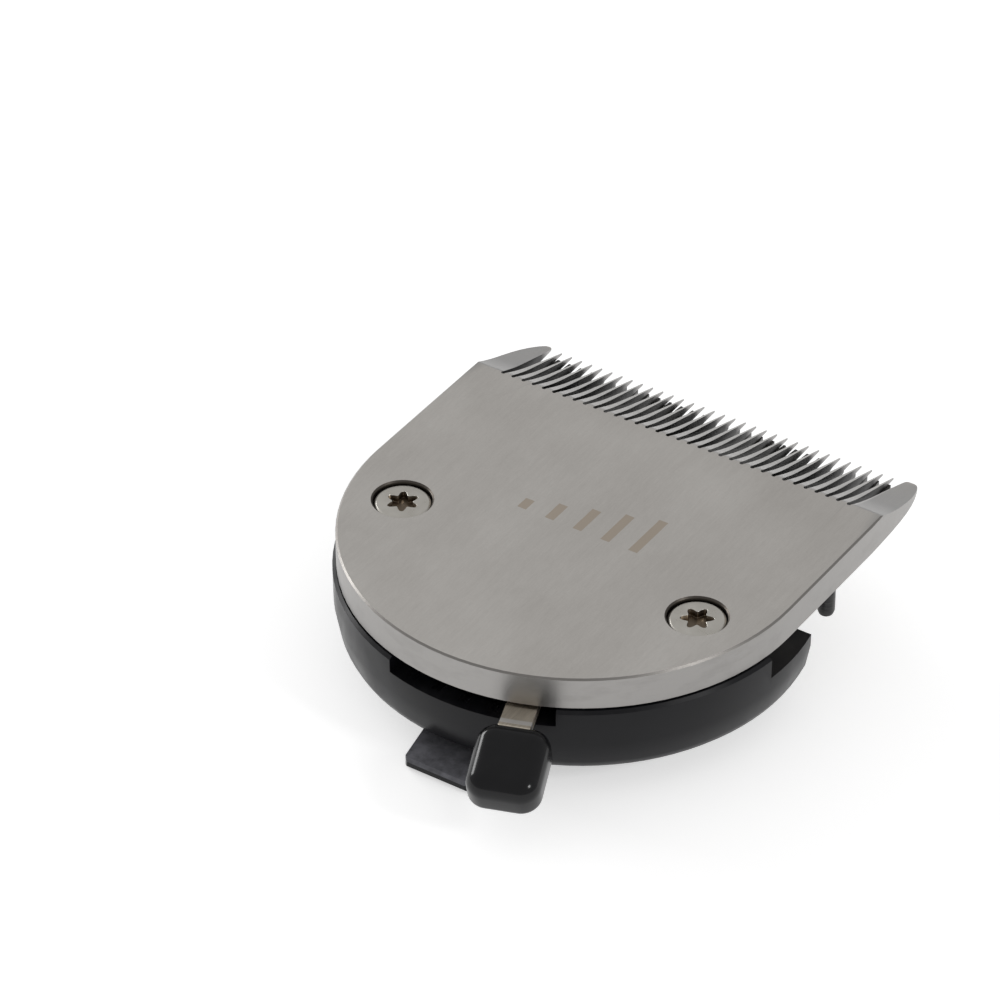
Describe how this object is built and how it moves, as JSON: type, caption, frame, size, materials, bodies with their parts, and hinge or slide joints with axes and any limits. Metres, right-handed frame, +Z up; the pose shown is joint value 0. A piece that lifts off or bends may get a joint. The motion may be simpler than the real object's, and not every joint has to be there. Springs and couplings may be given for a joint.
{
  "type": "detachable clipper blade set",
  "caption": "Detachable pet clipper blade set: toothed comb and cutter on a round black carrier, with an adjusting lever for the length of cut and a snap-in latch.",
  "frame": {"origin": "centre of the bounding box seen from above, on the lowest faces of the hooks and heels", "axes": "+Z up out of the comb blade, +Y towards the teeth, +X to the right seen from behind the lever"},
  "size_m": [0.0466, 0.0586, 0.0142],
  "materials": {
    "comb_steel": "ground stainless steel, fine grain towards the teeth",
    "cutter_steel": "hardened steel, dark ground finish",
    "bright_steel": "bright nickelled spring steel",
    "screw_steel": "bright plated steel",
    "pin_steel": "darkened turned steel",
    "insert_brass": "turned brass",
    "black_plastic": "satin moulded glass-filled nylon",
    "black_vinyl": "glossy dipped vinyl",
    "white_nylon": "natural moulded acetal"
  },
  "bodies": {
    "base": {"comb_blade": "comb_steel", "carrier": "black_plastic", "blade_screw_left": "screw_steel", "blade_screw_right": "screw_steel", "thread_insert_left": "insert_brass", "thread_insert_right": "insert_brass", "pivot_pin": "pin_steel", "pivot_washer": "bright_steel", "locating_pin_left": "pin_steel", "locating_pin_right": "pin_steel"},
    "lever": {"adjust_lever": "bright_steel", "lever_cap": "black_vinyl", "cam_pin": "pin_steel"},
    "sled": {"cutter_sled": "black_plastic", "guide_rod": "bright_steel", "cutter_spring_left": "bright_steel", "cutter_spring_right": "bright_steel"},
    "cutter": {"cutter_blade": "cutter_steel", "drive_block": "white_nylon", "block_rivet_left": "pin_steel", "block_rivet_right": "pin_steel", "spring_pad_left": "white_nylon", "spring_pad_right": "white_nylon"},
    "latch": {"latch_tongue": "black_plastic"}
  },
  "joints": [
    {"name": "lever_swing", "type": "hinge", "parent": "base", "child": "lever", "pos_m": [0, 0.00217, 0.01015], "axis": [0, 0, -1], "range_deg": [0, 31]},
    {"name": "sled_slide", "type": "slide", "parent": "base", "child": "sled", "axis": [0, -1, 0], "range_m": [0, 0.0023]},
    {"name": "cutter_stroke", "type": "slide", "parent": "sled", "child": "cutter", "axis": [1, 0, 0], "range_m": [-0.0011, 0.0011]},
    {"name": "latch_flex", "type": "hinge", "parent": "base", "child": "latch", "pos_m": [0, -0.01213, 0.0022], "axis": [-1, 0, 0], "range_deg": [0, 7], "stiffness_Nm_per_rad": 0.02}
  ],
  "couplings": [
    {"joint": "lever_swing", "follows": "sled_slide", "rad_per_m": 235.24}
  ]
}
